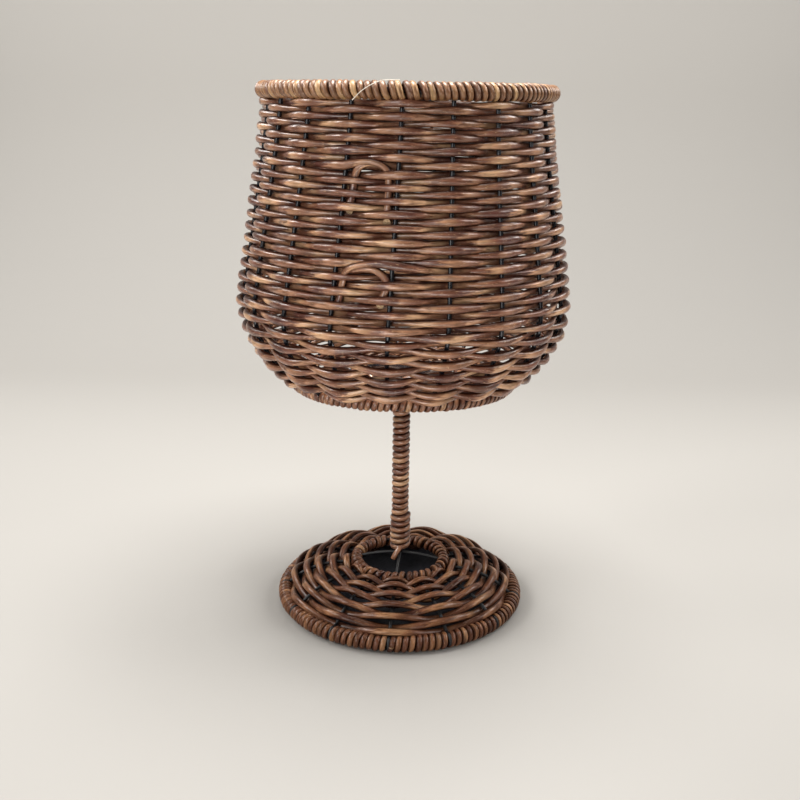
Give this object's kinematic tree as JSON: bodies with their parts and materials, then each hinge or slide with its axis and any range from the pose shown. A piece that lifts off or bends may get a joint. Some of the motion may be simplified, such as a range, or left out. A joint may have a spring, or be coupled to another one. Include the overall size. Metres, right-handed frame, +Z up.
{
  "type": "goblet-shaped storage basket",
  "caption": "Open rattan basket shaped like a stemmed goblet: plain-woven bowl on wire stakes, wound stem and a domed woven base, for holding small loose things.",
  "frame": {"origin": "centre of the base on the plane it stands on", "axes": "+Z up the stem towards the rim, -Y towards the front seen in the picture, +X to the right in the picture"},
  "size_m": [0.2103, 0.2111, 0.34],
  "materials": {
    "rattan": "satin, brown stained rattan core",
    "dark_rattan": "satin, darker brown stained rattan core",
    "wire": "gloss black paint on steel wire",
    "plate": "matt black paint on a steel plate"
  },
  "bodies": {
    "root": {"base_binding": "dark_rattan", "base_cross": "wire", "base_inner_binding": "dark_rattan", "base_inner_ring": "wire", "base_plate": "plate", "base_ring": "wire", "base_stake_01": "wire", "base_stake_02": "wire", "base_stake_03": "wire", "base_stake_04": "wire", "base_stake_05": "wire", "base_stake_06": "wire", "base_stake_07": "wire", "base_stake_08": "wire", "base_stake_09": "wire", "base_stake_10": "wire", "base_stake_11": "wire", "base_stake_12": "wire", "base_stake_13": "wire", "base_weaver": "dark_rattan", "bowl_floor_spokes": "wire", "bowl_floor_weaver": "rattan", "bowl_foot_binding": "dark_rattan", "bowl_foot_ring": "wire", "bowl_rim_binding": "rattan", "bowl_rim_ring": "wire", "bowl_stake_01": "wire", "bowl_stake_02": "wire", "bowl_stake_03": "wire", "bowl_stake_04": "wire", "bowl_stake_05": "wire", "bowl_stake_06": "wire", "bowl_stake_07": "wire", "bowl_stake_08": "wire", "bowl_stake_09": "wire", "bowl_stake_10": "wire", "bowl_stake_11": "wire", "bowl_stake_12": "wire", "bowl_stake_13": "wire", "bowl_stake_14": "wire", "bowl_stake_15": "wire", "bowl_stake_16": "wire", "bowl_stake_17": "wire", "bowl_stake_18": "wire", "bowl_stake_19": "wire", "bowl_weaver_01": "rattan", "bowl_weaver_02": "rattan", "bowl_weaver_03": "rattan", "bowl_weaver_04": "rattan", "bowl_weaver_05": "rattan", "bowl_weaver_06": "rattan", "stem_rod": "wire", "stem_winding_lower": "rattan", "stem_winding_upper": "rattan"}
  },
  "joints": []
}
